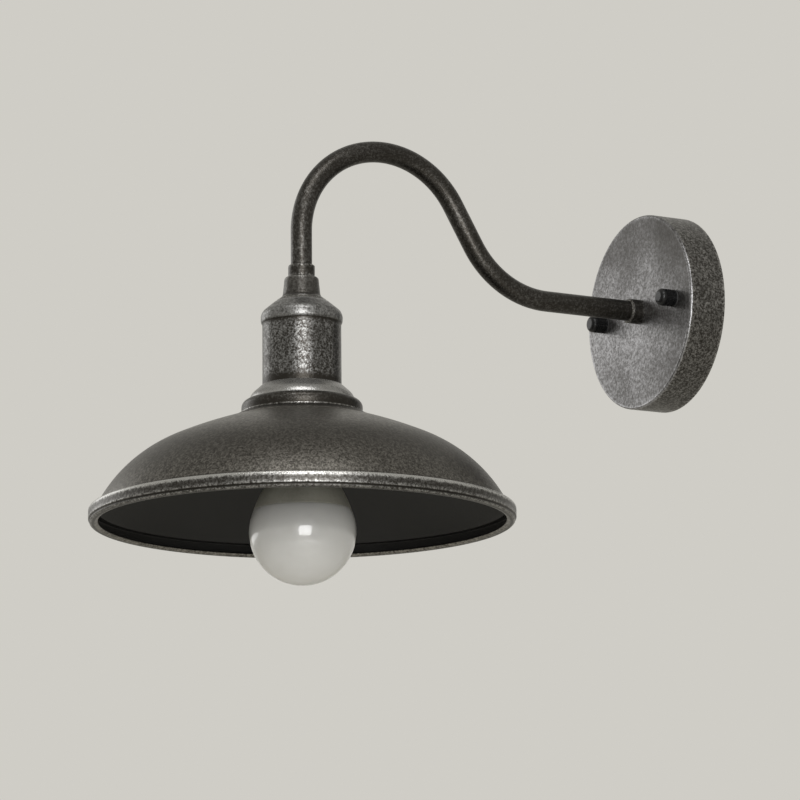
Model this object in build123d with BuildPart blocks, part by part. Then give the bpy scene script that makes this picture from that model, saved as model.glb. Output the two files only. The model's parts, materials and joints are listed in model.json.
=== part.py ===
"""Gooseneck wall sconce: round canopy, bent tube arm and a metal shade that hangs over one screw-cap bulb.

Sizes are in millimetres. The origin is the centre of the bracket's back plane, on the wall. +Z is up and the
room is on -Y. The arm lies in the plane X = 0, and the lamp hangs on a vertical axis at Y = -reach.
"""

import os
from math import atan2, cos, degrees, pi, radians, sin, sqrt, tan

from build123d import *

# Arm: its outlet is at Z = 0, and its bends are measured on the tube's centre line.
reach = 255.0  # wall to the lamp's vertical axis
bend_height = 25.2  # centre of the top bend above the outlet
top_bend_radius = 54.5
low_bend_radius = 58.0
riser_angle = 60.0  # slope of the short straight run between the two bends
arm_drop = 28.0  # centre of the top bend down to the tube's lower end
tube_diameter = 12.5

# Fits
thread_gap = 0.05  # radial gap that stands for an engaged thread
pass_gap = 0.1  # radial gap of a clearance hole or a sleeve
bulb_gap = 0.35  # radial gap between the bulb's cap and the screw shell

# Canopy and its two cap nuts
canopy_diameter = 120.0
canopy_depth = 24.0
canopy_sheet = 1.2
canopy_edge_radius = 1.3
stud_spacing = 80.6
stud_diameter = 4.0
stud_pitch_depth = 8.6  # thread of the stud inside a cap nut
nut_diameter = 10.3
nut_length = 10.5
nut_dome_radius = 2.6
nut_groove_depth = 0.5
nut_groove_width = 0.9
nut_flutes = 30
nut_flute_radius = 0.35
nut_hole_spare = 0.6  # hole left in front of the stud's tip
washer_thickness = 0.6

# Wall bracket: a raised bar with two feet and a tab for the terminal block
bracket_width = 18.0
bracket_sheet = 1.5
bracket_rise = 4.0
bar_half_length = 45.0
foot_end = 57.3
joggle_run = 2.0
slot_spacing = 105.0
slot_length = 7.0
slot_width = 4.5
tab_width = 26.0
tab_bottom = 39.0  # below the outlet's axis
stud_head_diameter = 7.0
stud_head_height = 2.4
stud_nut_flats = 7.0
stud_nut_height = 2.6

# Threaded entries at both ends of the arm
nipple_diameter = 10.0
nipple_bore = 7.4
nipple_grip = 12.0  # length screwed into the tube
nipple_end_spare = 1.0  # thread that shows past the nut
lock_flats = 14.0
lock_height = 3.0
toothed_diameter = 15.6
toothed_thickness = 0.8
toothed_teeth = 12
bush_wall = 0.75
bush_length = 6.0
bush_flange = 1.0
wall_collar_diameter = 15.0
wall_collar_length = 8.5
wall_collar_chamfer = 1.0
cup_collar_diameter = 15.6
cup_collar_height = 7.2
cup_collar_round = 2.2

# Turned neck, step ring and socket cup
neck_height = 13.1
neck_top_radius = 9.9
neck_low_radius = 11.0
neck_foot_radius = 13.0
neck_foot_height = 3.2
neck_round = 1.6
step_height = 2.1
step_top_radius = 13.4
step_foot_radius = 15.6
cup_height = 49.6
cup_radius = 23.0
cup_sheet = 1.0
bead_radius = 23.9
crown_edge_radius = 16.2  # flat top of the cup
shoulder_slope = 40.0  # degrees below level
shoulder_round = 6.0
bead_bottom = 10.4  # below the cup's top
crease_drop = 13.0  # below the cup's top

# Fitter ring, shade collar and shade
holder_hole_gap = 0.3
fitter_height = 8.8
fitter_top_radius = 23.6
fitter_cone_radius = 28.0
fitter_cone_drop = 3.9
fitter_foot_radius = 30.8
collar_height = 8.2
collar_radius = 35.2
collar_round = 4.3
collar_lip_radius = 35.8
collar_lip_height = 1.0
shade_sheet = 1.0
crown_radius = 36.0  # flat top under the collar
crown_cone_radius = 41.0
crown_cone_drop = 2.4
crown_foot_radius = 41.8
crown_foot_drop = 3.2
crown_slope = 16.4  # degrees below level where the dome leaves the crown
flank_radius = 78.3
flank_drop = 16.6
brow_radius = 118.9
dome_drop = 55.5
rim_radius = 123.2
rim_round = 1.6
band_height = 7.3
hem_width = 5.7
hem_drop = 2.0

# Lampholder
holder_diameter = 40.0
holder_wall = 1.6
holder_below_shade = 11.4  # threaded skirt that stands below the shade's top plate
holder_clear = 2.4  # lock nut to the holder's cap
holder_hub_diameter = 16.0
holder_hub_height = 8.0
holder_shoulder = 4.0
holder_joint = 4.0  # how far the cap goes into the skirt
skirt_ledge = 1.6
socket_depth = 29.0  # mouth of the skirt to the bulb's tip
insert_height = 10.0
insert_gap = 0.2
shell_wall = 0.5
shell_lip_radius = 9.6
shell_mouth = 3.5  # mouth of the skirt to the shell's lower edge
leaf_width = 6.0
leaf_sheet = 0.6
leaf_half_length = 7.4
leaf_sag = 1.5  # insert to the bulb's tip
terminal_offset = 9.0
terminal_width = 6.0
terminal_depth = 8.0
terminal_height = 8.0
terminal_screw_diameter = 3.0
terminal_head_diameter = 5.2
terminal_head_height = 1.6
rivet_diameter = 2.4
live_rivet = 7.0
neutral_rivet = 11.2

# Shade ring
ring_flange_radius = 27.0
ring_flange_height = 2.0
ring_hub_radius = 23.2
ring_height = 8.0
ring_lugs = 12
ring_lug_radius = 1.2

# Bulb
bulb_radius = 31.0
bulb_length = 116.3
bulb_seam = 12.5  # above the globe's centre
diffuser_wall = 1.2
housing_wall = 1.5
cap_length = 27.0
cap_radius = 13.1
cap_wall = 1.4
thread_pitch = 3.629
thread_turns = 4
thread_round = 1.4
thread_depth = 0.8
cap_mouth = 3.2  # plain band below the thread
tip_radius = 4.6
tip_height = 1.2
insulator_height = 4.0
insulator_radius = 8.6
neck_plain = 3.0
waist_radius = 20.7
waist_height = 16.0  # above the seam
plate_thickness = 1.6
board_width = 18.0
board_height = 28.0
board_thickness = 1.6
chip_count = 12
chip_ring_radius = 18.0
chip_size = 3.0
chip_height = 0.8
choke_radius = 4.5
choke_height = 9.0
capacitor_radius = 3.2
capacitor_length = 12.0

# Terminal block and earth point
pole_pitch = 8.0
block_margin = 4.5
block_length = 18.0
block_top = 18.0  # below the outlet's axis
block_base = 7.6
block_tower = 4.2
pole_height = 5.0  # bracket to the pole's axis
sleeve_radius = 2.3
sleeve_bore = 3.0
sleeve_inset = 1.5
clamp_spacing = 9.0
clamp_diameter = 3.0
tower_wall = 0.9
block_screw_diameter = 2.4
block_screw_head = 4.2
block_screw_head_height = 1.4
earth_x = 22.0
earth_diameter = 4.0
earth_head_diameter = 7.6
earth_head_height = 2.6
earth_shank = 3.4
lug_sheet = 0.8
lug_radius = 4.0
lug_barrel_radius = 1.7
lug_barrel_length = 6.0
lug_barrel_start = 5.0
lug_tongue = 2.6

# Leads
lead_diameter = 2.2
core_diameter = 1.3
lead_spread = 1.6
bare_length = 6.0
block_bend_drop = 12.5
block_bend_radius = 10.0
outlet_bend_radius = 6.9
terminal_bend_drop = 6.0
terminal_bend_radius = 8.0
terminal_lead_in = 3.0  # straight below the nipple before the lead turns

# Levels down the lamp's axis
neck_top = bend_height - arm_drop
step_top = neck_top - neck_height
cup_top = step_top - step_height
cup_bottom = cup_top - cup_height
fitter_bottom = cup_bottom - fitter_height
shade_top = fitter_bottom - collar_height
brow_level = shade_top - dome_drop
band_bottom = brow_level - band_height
lamp_toothed_top = cup_top - cup_sheet
lamp_nut_top = lamp_toothed_top - toothed_thickness
holder_top = lamp_nut_top - lock_height - holder_clear
nipple_bottom = holder_top - holder_hub_height + bush_flange
skirt_bottom = shade_top - shade_sheet - holder_below_shade
tip_level = skirt_bottom + socket_depth
insert_bottom = tip_level + leaf_sag
insert_top = insert_bottom + insert_height
holder_split = insert_top + holder_joint
terminal_top = insert_top + terminal_height

# Distances out from the wall
bar_back = bracket_rise
bar_front = bracket_rise + bracket_sheet
canopy_inside = canopy_depth - canopy_sheet
wall_nut_back = canopy_inside - toothed_thickness - lock_height
wall_nipple_end = wall_nut_back - nipple_end_spare
pole_out = bar_front + pole_height

# Radii
tube_radius = tube_diameter / 2
nipple_radius = nipple_diameter / 2
nipple_hole = nipple_radius + pass_gap
tube_bore = nipple_radius + thread_gap
stud_radius = stud_diameter / 2
stud_hole = stud_radius + pass_gap
holder_radius = holder_diameter / 2
holder_hole = holder_radius + holder_hole_gap
skirt_bore = holder_radius - holder_wall
lead_radius = lead_diameter / 2
core_radius = core_diameter / 2
stud_x = (-stud_spacing / 2, stud_spacing / 2)
pole_x = {"live": -pole_pitch, "neutral": 0.0, "earth": pole_pitch}
lead_x = {"live": -lead_spread, "neutral": lead_spread}

# Bends of the arm, as (Y, Z) on the centre line
rise = radians(riser_angle)
top_bend_start = (
    top_bend_radius - reach + top_bend_radius * sin(rise),
    bend_height + top_bend_radius * cos(rise),
)
low_bend_end_z = low_bend_radius * (1 - cos(rise))
low_bend_end_y = top_bend_start[0] + (top_bend_start[1] - low_bend_end_z) / tan(rise)
low_bend_start_y = low_bend_end_y + low_bend_radius * sin(rise)

lamp_axis = Axis((0, -reach, 0), (0, 0, 1))
lamp_section = Plane(origin=(0, -reach, 0), x_dir=(1, 0, 0), z_dir=(0, -1, 0))


def lamp_level(z):
    """Level plane on the lamp's axis."""
    return Plane(origin=(0, -reach, z))


def wall_level(out, x=0.0, z=0.0):
    """Plane that faces the room, at a distance out from the wall."""
    return Plane(origin=(x, -out, z), x_dir=(1, 0, 0), z_dir=(0, -1, 0))


def wall_section(x=0.0, z=0.0):
    """Section plane of a piece turned about a line square to the wall: (radius, distance out)."""
    return Plane(origin=(x, 0, z), x_dir=(1, 0, 0), z_dir=(0, 0, -1))


def wall_axis(x=0.0, z=0.0):
    """Line square to the wall, pointing into the room."""
    return Axis((x, 0, z), (0, -1, 0))


def band(inner, outer, low, high):
    """Rectangle in a section plane, from radius inner to outer and from low to high."""
    with Locations(((inner + outer) / 2, (low + high) / 2)):
        Rectangle(outer - inner, high - low)


def save(piece, name):
    """Labels a finished piece and writes it."""
    piece.part.label = name
    export_step(piece.part, f"parts/{name}.step")


os.makedirs("parts", exist_ok=True)

# ---------------------------------------------------------------- bracket and canopy

with BuildPart() as bracket:
    with BuildSketch(Plane.XY.offset(-bracket_width / 2)):
        with BuildLine():
            Polyline(
                (-foot_end, 0),
                (-bar_half_length - joggle_run, 0),
                (-bar_half_length, -bar_back),
                (bar_half_length, -bar_back),
                (bar_half_length + joggle_run, 0),
                (foot_end, 0),
            )
            offset(amount=bracket_sheet, side=Side.RIGHT)
        make_face()
    extrude(amount=bracket_width)
    with BuildSketch(wall_level(bar_back)):
        with Locations((0, -tab_bottom / 2)):
            Rectangle(tab_width, tab_bottom)
    extrude(amount=bracket_sheet)
    with BuildSketch(wall_level(0)):
        with Locations((-slot_spacing / 2, 0), (slot_spacing / 2, 0)):
            SlotOverall(slot_length, slot_width)
    extrude(amount=bar_front, mode=Mode.SUBTRACT)
    with BuildSketch(wall_level(bar_back)):
        with Locations(*[(x, 0) for x in stud_x]):
            Circle(stud_hole)
        with Locations((earth_x, 0)):
            Circle(earth_diameter / 2 + thread_gap)
        with Locations(*[(x, -block_top - block_length / 2) for x in (-pole_pitch / 2, pole_pitch / 2)]):
            Circle(block_screw_diameter / 2 + thread_gap)
    extrude(amount=bracket_sheet, mode=Mode.SUBTRACT)
save(bracket, "wall_bracket")

stud_end = canopy_depth + washer_thickness + stud_pitch_depth
with BuildPart() as studs:
    for x in stud_x:
        with BuildSketch(wall_section(x)) as stud_profile:
            band(0, stud_head_diameter / 2, bar_back - stud_head_height, bar_back)
            band(0, stud_radius, bar_back, stud_end)
        revolve(axis=wall_axis(x))
save(studs, "canopy_studs")

with BuildPart() as stud_nuts:
    for x in stud_x:
        with BuildSketch(wall_level(bar_front, x)):
            RegularPolygon(stud_nut_flats / 2, 6, major_radius=False)
            Circle(stud_radius + thread_gap, mode=Mode.SUBTRACT)
        extrude(amount=stud_nut_height)
save(stud_nuts, "stud_lock_nuts")

with BuildPart() as canopy:
    with BuildSketch(wall_section()):
        with BuildLine():
            FilletPolyline(
                (nipple_hole, canopy_depth),
                (canopy_diameter / 2, canopy_depth),
                (canopy_diameter / 2, 0),
                radius=canopy_edge_radius,
            )
            offset(amount=canopy_sheet, side=Side.RIGHT)
        make_face()
    revolve(axis=wall_axis())
    with BuildSketch(wall_level(canopy_inside)):
        with Locations(*[(x, 0) for x in stud_x]):
            Circle(stud_hole)
    extrude(amount=canopy_sheet, mode=Mode.SUBTRACT)
save(canopy, "canopy")

for side, x in zip(("left", "right"), stud_x):
    with BuildPart() as washer:
        with BuildSketch(wall_level(canopy_depth, x)):
            Circle(nut_diameter / 2)
            Circle(stud_hole, mode=Mode.SUBTRACT)
        extrude(amount=washer_thickness)
    save(washer, f"nut_washer_{side}")

    nut_back = canopy_depth + washer_thickness
    nut_front = nut_back + nut_length
    knurl_low = nut_back + 2 * nut_groove_width
    knurl_high = nut_front - nut_dome_radius - nut_groove_width
    with BuildPart() as cap_nut:
        with BuildSketch(wall_section(x)):
            with BuildLine():
                FilletPolyline(
                    (0, nut_back),
                    (nut_diameter / 2, nut_back),
                    (nut_diameter / 2, nut_front),
                    (0, nut_front),
                    radius=[0, nut_dome_radius],
                )
                Line((0, nut_front), (0, nut_back))
            make_face()
            for level in (knurl_low, knurl_high):
                with Locations((nut_diameter / 2, level)):
                    Rectangle(2 * nut_groove_depth, nut_groove_width, mode=Mode.SUBTRACT)
        revolve(axis=wall_axis(x))
        with BuildSketch(wall_level(nut_back, x)):
            Circle(stud_radius + thread_gap)
        extrude(amount=stud_pitch_depth + nut_hole_spare, mode=Mode.SUBTRACT)
        with BuildSketch(wall_level(knurl_low + nut_groove_width / 2, x)):
            with PolarLocations(nut_diameter / 2, nut_flutes):
                Circle(nut_flute_radius)
        extrude(amount=knurl_high - knurl_low - nut_groove_width, mode=Mode.SUBTRACT)
    save(cap_nut, f"cap_nut_{side}")

# ---------------------------------------------------------------- arm and its threaded ends


def arm_run(shift, first_y, last_z):
    """The arm's centre line, moved sideways by shift, from first_y at the wall to last_z at the lamp."""
    with BuildLine(Plane.YZ.offset(shift)) as run:
        Line((first_y, 0), (low_bend_start_y, 0))
        JernArc((low_bend_start_y, 0), (-1, 0), low_bend_radius, -riser_angle)
        Line((low_bend_end_y, low_bend_end_z), top_bend_start)
        JernArc(top_bend_start, (-cos(rise), sin(rise)), top_bend_radius, riser_angle + 90)
        Line((-reach, bend_height), (-reach, last_z))
    return run.wires()[0]


with BuildPart() as arm:
    with BuildSketch(wall_level(canopy_depth)):
        Circle(tube_radius)
        Circle(tube_bore, mode=Mode.SUBTRACT)
    sweep(path=arm_run(0, -canopy_depth, neck_top))
save(arm, "gooseneck_arm")

with BuildPart() as wall_nipple:
    with BuildSketch(wall_section()):
        band(nipple_bore / 2, nipple_radius, wall_nipple_end, canopy_depth + nipple_grip)
    revolve(axis=wall_axis())
save(wall_nipple, "wall_nipple")

with BuildPart() as lamp_nipple:
    with BuildSketch(lamp_section):
        band(nipple_bore / 2, nipple_radius, nipple_bottom, neck_top + nipple_grip)
    revolve(axis=lamp_axis)
save(lamp_nipple, "lamp_nipple")

with BuildPart() as wall_collar:
    with BuildSketch(wall_level(canopy_depth)):
        Circle(wall_collar_diameter / 2)
        Circle(tube_radius + pass_gap, mode=Mode.SUBTRACT)
    extrude(amount=wall_collar_length)
    rims = wall_collar.faces().sort_by(Axis.Y)[0].outer_wire().edges()
    chamfer(rims, wall_collar_chamfer)
save(wall_collar, "wall_collar")

with BuildPart() as cup_collar:
    with BuildSketch(lamp_level(neck_top)):
        Circle(cup_collar_diameter / 2)
        Circle(tube_radius + pass_gap, mode=Mode.SUBTRACT)
    extrude(amount=cup_collar_height)
    top_edge = cup_collar.faces().sort_by(Axis.Z)[-1].outer_wire().edges()
    fillet(top_edge, min(cup_collar_round, (cup_collar_diameter - tube_diameter) / 2 - 2 * pass_gap))
save(cup_collar, "cup_collar")


def toothed_washer_face():
    """Washer with cuts round its edge, which leave the biting teeth."""
    Circle(toothed_diameter / 2)
    Circle(nipple_hole, mode=Mode.SUBTRACT)
    with PolarLocations(toothed_diameter / 2, toothed_teeth):
        Rectangle(2 * toothed_thickness, toothed_thickness, mode=Mode.SUBTRACT)


def lock_nut_face():
    """Six-sided nut for the nipple's thread."""
    RegularPolygon(lock_flats / 2, 6, major_radius=False)
    Circle(tube_bore, mode=Mode.SUBTRACT)


with BuildPart() as wall_toothed:
    with BuildSketch(wall_level(canopy_inside - toothed_thickness)):
        toothed_washer_face()
    extrude(amount=toothed_thickness)
save(wall_toothed, "wall_toothed_washer")

with BuildPart() as wall_lock:
    with BuildSketch(wall_level(wall_nut_back)):
        lock_nut_face()
    extrude(amount=lock_height)
save(wall_lock, "wall_lock_nut")

with BuildPart() as lamp_toothed:
    with BuildSketch(lamp_level(lamp_nut_top)):
        toothed_washer_face()
    extrude(amount=toothed_thickness)
save(lamp_toothed, "lamp_toothed_washer")

with BuildPart() as lamp_lock:
    with BuildSketch(lamp_level(lamp_nut_top - lock_height)):
        lock_nut_face()
    extrude(amount=lock_height)
save(lamp_lock, "lamp_lock_nut")

bush_radius = nipple_bore / 2 - thread_gap
bush_hole = bush_radius - bush_wall
with BuildPart() as wall_bush:
    with BuildSketch(wall_section()):
        band(bush_hole, bush_radius, wall_nipple_end, wall_nipple_end + bush_length)
        band(bush_hole, nipple_radius, wall_nipple_end - bush_flange, wall_nipple_end)
    revolve(axis=wall_axis())
save(wall_bush, "wall_bush")

with BuildPart() as lamp_bush:
    with BuildSketch(lamp_section):
        band(bush_hole, bush_radius, nipple_bottom, nipple_bottom + bush_length)
        band(bush_hole, nipple_radius, nipple_bottom - bush_flange, nipple_bottom)
    revolve(axis=lamp_axis)
save(lamp_bush, "lamp_bush")

# ---------------------------------------------------------------- neck, cup, fitter and shade

with BuildPart() as neck:
    with BuildSketch(lamp_section):
        with BuildLine():
            FilletPolyline(
                (nipple_hole, neck_top),
                (neck_top_radius, neck_top),
                (neck_low_radius, step_top + neck_foot_height),
                (neck_foot_radius, step_top),
                (nipple_hole, step_top),
                radius=[neck_round, 0, 0],
            )
            Line((nipple_hole, step_top), (nipple_hole, neck_top))
        make_face()
    revolve(axis=lamp_axis)
save(neck, "cup_neck")

with BuildPart() as step_ring:
    with BuildSketch(lamp_section):
        with BuildLine():
            Polyline(
                (nipple_hole, step_top),
                (step_top_radius, step_top),
                (step_foot_radius, cup_top),
                (nipple_hole, cup_top),
                close=True,
            )
        make_face()
    revolve(axis=lamp_axis)
save(step_ring, "step_ring")

with BuildPart() as socket_cup:
    slope = radians(shoulder_slope)
    shoulder_end = (
        bead_radius - shoulder_round * (1 - sin(slope)),
        cup_top - (bead_radius - shoulder_round * (1 - sin(slope)) - crown_edge_radius) * tan(slope),
    )
    with BuildSketch(lamp_section):
        with BuildLine():
            Polyline((nipple_hole, cup_top), (crown_edge_radius, cup_top), shoulder_end)
            bead_arc = JernArc(shoulder_end, (cos(slope), -sin(slope)), shoulder_round, shoulder_slope - 90)
            Line(bead_arc @ 1, (bead_radius, cup_top - bead_bottom))
            TangentArc(
                (bead_radius, cup_top - bead_bottom),
                (cup_radius, cup_top - crease_drop),
                tangent=(0, -1),
            )
            Line((cup_radius, cup_top - crease_drop), (cup_radius, cup_bottom))
            offset(amount=cup_sheet, side=Side.RIGHT)
        make_face()
    revolve(axis=lamp_axis)
save(socket_cup, "socket_cup")

with BuildPart() as fitter:
    with BuildSketch(lamp_section):
        with BuildLine():
            cone_end = (fitter_cone_radius, cup_bottom - fitter_cone_drop)
            Line((holder_hole, cup_bottom), (fitter_top_radius, cup_bottom))
            cone = Line((fitter_top_radius, cup_bottom), cone_end)
            TangentArc(cone_end, (fitter_foot_radius, fitter_bottom), tangent=cone % 1)
            Polyline(
                (fitter_foot_radius, fitter_bottom),
                (holder_hole, fitter_bottom),
                (holder_hole, cup_bottom),
            )
        make_face()
    revolve(axis=lamp_axis)
save(fitter, "fitter_ring")

with BuildPart() as shade_collar:
    with BuildSketch(lamp_section):
        with BuildLine():
            round_start = (collar_radius - collar_round, fitter_bottom)
            Line((holder_hole, fitter_bottom), round_start)
            JernArc(round_start, (1, 0), collar_round, -90)
            Polyline(
                (collar_radius, fitter_bottom - collar_round),
                (collar_radius, shade_top + collar_lip_height),
                (collar_lip_radius, shade_top + collar_lip_height),
                (collar_lip_radius, shade_top),
                (holder_hole, shade_top),
                (holder_hole, fitter_bottom),
            )
        make_face()
    revolve(axis=lamp_axis)
save(shade_collar, "shade_collar")

with BuildPart() as shade:
    crown_foot = (crown_foot_radius, shade_top - crown_foot_drop)
    flank = (flank_radius, shade_top - flank_drop)
    brow = (brow_radius, brow_level)
    slope = radians(crown_slope)
    with BuildSketch(lamp_section):
        with BuildLine():
            Polyline(
                (holder_hole, shade_top),
                (crown_radius, shade_top),
                (crown_cone_radius, shade_top - crown_cone_drop),
                crown_foot,
            )
            flank_arc = TangentArc(crown_foot, flank, tangent=(cos(slope), -sin(slope)))
            TangentArc(flank, brow, tangent=flank_arc % 1)
            FilletPolyline(brow, (rim_radius, brow_level), (rim_radius, band_bottom), radius=rim_round)
            ThreePointArc(
                (rim_radius, band_bottom),
                (rim_radius - hem_width / 2, band_bottom - hem_drop),
                (rim_radius - hem_width, band_bottom),
            )
            offset(amount=shade_sheet, side=Side.RIGHT)
        make_face()
    revolve(axis=lamp_axis)
save(shade, "shade")

with BuildPart() as shade_ring:
    ring_top = shade_top - shade_sheet
    ring_bore = holder_radius + thread_gap
    with BuildSketch(lamp_section):
        band(ring_bore, ring_flange_radius, ring_top - ring_flange_height, ring_top)
        band(ring_bore, ring_hub_radius, ring_top - ring_height, ring_top)
    revolve(axis=lamp_axis)
    with BuildSketch(lamp_level(ring_top - ring_height)):
        with PolarLocations(ring_hub_radius, ring_lugs):
            Circle(ring_lug_radius)
    extrude(amount=ring_height)
save(shade_ring, "shade_ring")

# ---------------------------------------------------------------- lampholder

hub_radius = holder_hub_diameter / 2
shoulder_top = holder_top - holder_hub_height + holder_shoulder / 2
spigot_radius = skirt_bore - pass_gap
with BuildPart() as holder_cap:
    with BuildSketch(lamp_section):
        band(tube_bore, hub_radius, holder_top - holder_hub_height, holder_top)
        with BuildLine():
            Polyline(
                (tube_bore, shoulder_top),
                (hub_radius, shoulder_top),
                (holder_radius, shoulder_top - holder_shoulder),
                (holder_radius, holder_split),
                (spigot_radius, holder_split),
                (spigot_radius, insert_top),
                (spigot_radius - holder_wall, insert_top),
                (spigot_radius - holder_wall, shoulder_top - holder_shoulder - holder_wall),
                (hub_radius, holder_top - holder_hub_height),
                (tube_bore, holder_top - holder_hub_height),
                (tube_bore, shoulder_top),
            )
        make_face()
    revolve(axis=lamp_axis)
save(holder_cap, "lampholder_cap")

with BuildPart() as holder_skirt:
    with BuildSketch(lamp_section):
        band(skirt_bore, holder_radius, insert_bottom, holder_split)
        band(skirt_bore - skirt_ledge, holder_radius, skirt_bottom, insert_bottom)
    revolve(axis=lamp_axis)
save(holder_skirt, "lampholder_skirt")

with BuildPart() as insert:
    with BuildSketch(lamp_level(insert_bottom)):
        Circle(skirt_bore - insert_gap)
        with Locations((-live_rivet, 0), (neutral_rivet, 0)):
            Circle(rivet_diameter / 2 + thread_gap, mode=Mode.SUBTRACT)
    extrude(amount=insert_height)
save(insert, "lampholder_insert")

shell_bore = cap_radius + bulb_gap
with BuildPart() as screw_shell:
    with BuildSketch(lamp_section):
        band(shell_lip_radius, shell_bore + shell_wall, insert_bottom - shell_wall, insert_bottom)
        band(shell_bore, shell_bore + shell_wall, skirt_bottom + shell_mouth, insert_bottom)
    revolve(axis=lamp_axis)
    with BuildSketch(lamp_level(insert_bottom - shell_wall)):
        with Locations((neutral_rivet, 0)):
            Circle(rivet_diameter / 2 + thread_gap)
    extrude(amount=shell_wall, mode=Mode.SUBTRACT)
save(screw_shell, "screw_shell")

with BuildPart() as contact_leaf:
    with BuildSketch(lamp_section.offset(-leaf_width / 2)):
        with BuildLine():
            Polyline(
                (-leaf_half_length - rivet_diameter / 2, insert_bottom),
                (-leaf_half_length / 2, insert_bottom),
                (0, tip_level + leaf_sheet),
                (tip_radius, tip_level + leaf_sheet),
                (tip_radius, tip_level),
                (0, tip_level),
                (-leaf_half_length / 2, insert_bottom - leaf_sheet),
                (-leaf_half_length - rivet_diameter / 2, insert_bottom - leaf_sheet),
                close=True,
            )
        make_face()
    extrude(amount=leaf_width)
    with BuildSketch(lamp_level(insert_bottom - leaf_sheet)):
        with Locations((-live_rivet, 0)):
            Circle(rivet_diameter / 2 + thread_gap)
    extrude(amount=leaf_sheet, mode=Mode.SUBTRACT)
save(contact_leaf, "contact_leaf")

with BuildPart() as rivets:
    for x, sheet in ((-live_rivet, leaf_sheet), (neutral_rivet, shell_wall)):
        with BuildSketch(lamp_level(insert_bottom - sheet)):
            with Locations((x, 0)):
                Circle(rivet_diameter / 2)
        extrude(amount=insert_height + sheet)
save(rivets, "contact_rivets")

with BuildPart() as terminals:
    with BuildSketch(lamp_level(insert_top)):
        with Locations((-terminal_offset, 0), (terminal_offset, 0)):
            Rectangle(terminal_width, terminal_depth)
    extrude(amount=terminal_height)
    with BuildSketch(lamp_level(terminal_top)):
        with Locations((-terminal_offset, 0), (terminal_offset, 0)):
            Circle(core_radius + pass_gap)
    extrude(amount=-bare_length, mode=Mode.SUBTRACT)
    with BuildSketch(lamp_section.offset(terminal_depth / 2)):
        with Locations(*[(x, insert_top + terminal_height / 2) for x in (-terminal_offset, terminal_offset)]):
            Circle(terminal_screw_diameter / 2 + thread_gap)
    extrude(amount=-(terminal_depth / 2 - core_radius), mode=Mode.SUBTRACT)
save(terminals, "lampholder_terminals")

with BuildPart() as terminal_screws:
    for x in (-terminal_offset, terminal_offset):
        middle = insert_top + terminal_height / 2
        with BuildSketch(lamp_section.offset(core_radius)):
            with Locations((x, middle)):
                Circle(terminal_screw_diameter / 2)
        extrude(amount=terminal_depth / 2 - core_radius)
        with BuildSketch(lamp_section.offset(terminal_depth / 2)):
            with Locations((x, middle)):
                Circle(terminal_head_diameter / 2)
        extrude(amount=terminal_head_height)
        with BuildSketch(lamp_section.offset(terminal_depth / 2 + terminal_head_height)):
            with Locations((x, middle)):
                Rectangle(terminal_head_diameter, terminal_head_height / 2)
        extrude(amount=-terminal_head_height / 2, mode=Mode.SUBTRACT)
save(terminal_screws, "terminal_screws")

# ---------------------------------------------------------------- bulb

bulb_bottom = tip_level - bulb_length
globe_centre = bulb_bottom + bulb_radius
seam_level = globe_centre + bulb_seam
seam_radius = sqrt(bulb_radius**2 - bulb_seam**2)
cap_bottom = tip_level - cap_length
shell_top = tip_level - tip_height - insulator_height

with BuildPart() as diffuser:
    with BuildSketch(lamp_section):
        with BuildLine():
            ThreePointArc((0, bulb_bottom), (bulb_radius, globe_centre), (seam_radius, seam_level))
            offset(amount=diffuser_wall, side=Side.LEFT)
        make_face()
    revolve(axis=lamp_axis)
save(diffuser, "bulb_diffuser")

housing_neck = cap_radius - cap_wall
with BuildPart() as housing:
    with BuildSketch(lamp_section):
        with BuildLine():
            neck_end = (cap_radius, cap_bottom - neck_plain)
            waist = (waist_radius, seam_level + waist_height)
            Polyline(
                (housing_neck, cap_bottom + neck_plain),
                (housing_neck, cap_bottom),
                (cap_radius, cap_bottom),
                neck_end,
            )
            flare = TangentArc(neck_end, waist, tangent=(0, -1))
            TangentArc(waist, (seam_radius, seam_level), tangent=flare % 1)
            offset(amount=housing_wall, side=Side.RIGHT)
        make_face()
    revolve(axis=lamp_axis)
save(housing, "bulb_housing")

plate_radius = seam_radius - 2 * housing_wall
with BuildPart() as plate:
    with BuildSketch(lamp_level(seam_level)):
        Circle(plate_radius)
    extrude(amount=plate_thickness)
save(plate, "led_plate")

with BuildPart() as chips:
    with BuildSketch(lamp_level(seam_level)):
        with PolarLocations(chip_ring_radius, chip_count):
            Rectangle(chip_size, chip_size)
    extrude(amount=-chip_height)
save(chips, "led_chips")

board_foot = seam_level + plate_thickness
with BuildPart() as board:
    with BuildSketch(lamp_level(board_foot)):
        Rectangle(board_width, board_thickness)
    extrude(amount=board_height)
save(board, "driver_board")

with BuildPart() as choke:
    with BuildSketch(lamp_section.offset(board_thickness / 2)):
        with Locations((0, board_foot + choke_radius + board_thickness)):
            Circle(choke_radius)
    extrude(amount=choke_height)
save(choke, "driver_choke")

with BuildPart() as capacitor:
    with BuildSketch(lamp_level(board_foot + board_thickness)):
        with Locations((0, board_thickness / 2 + capacitor_radius)):
            Circle(capacitor_radius)
    extrude(amount=capacitor_length)
save(capacitor, "driver_capacitor")

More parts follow.
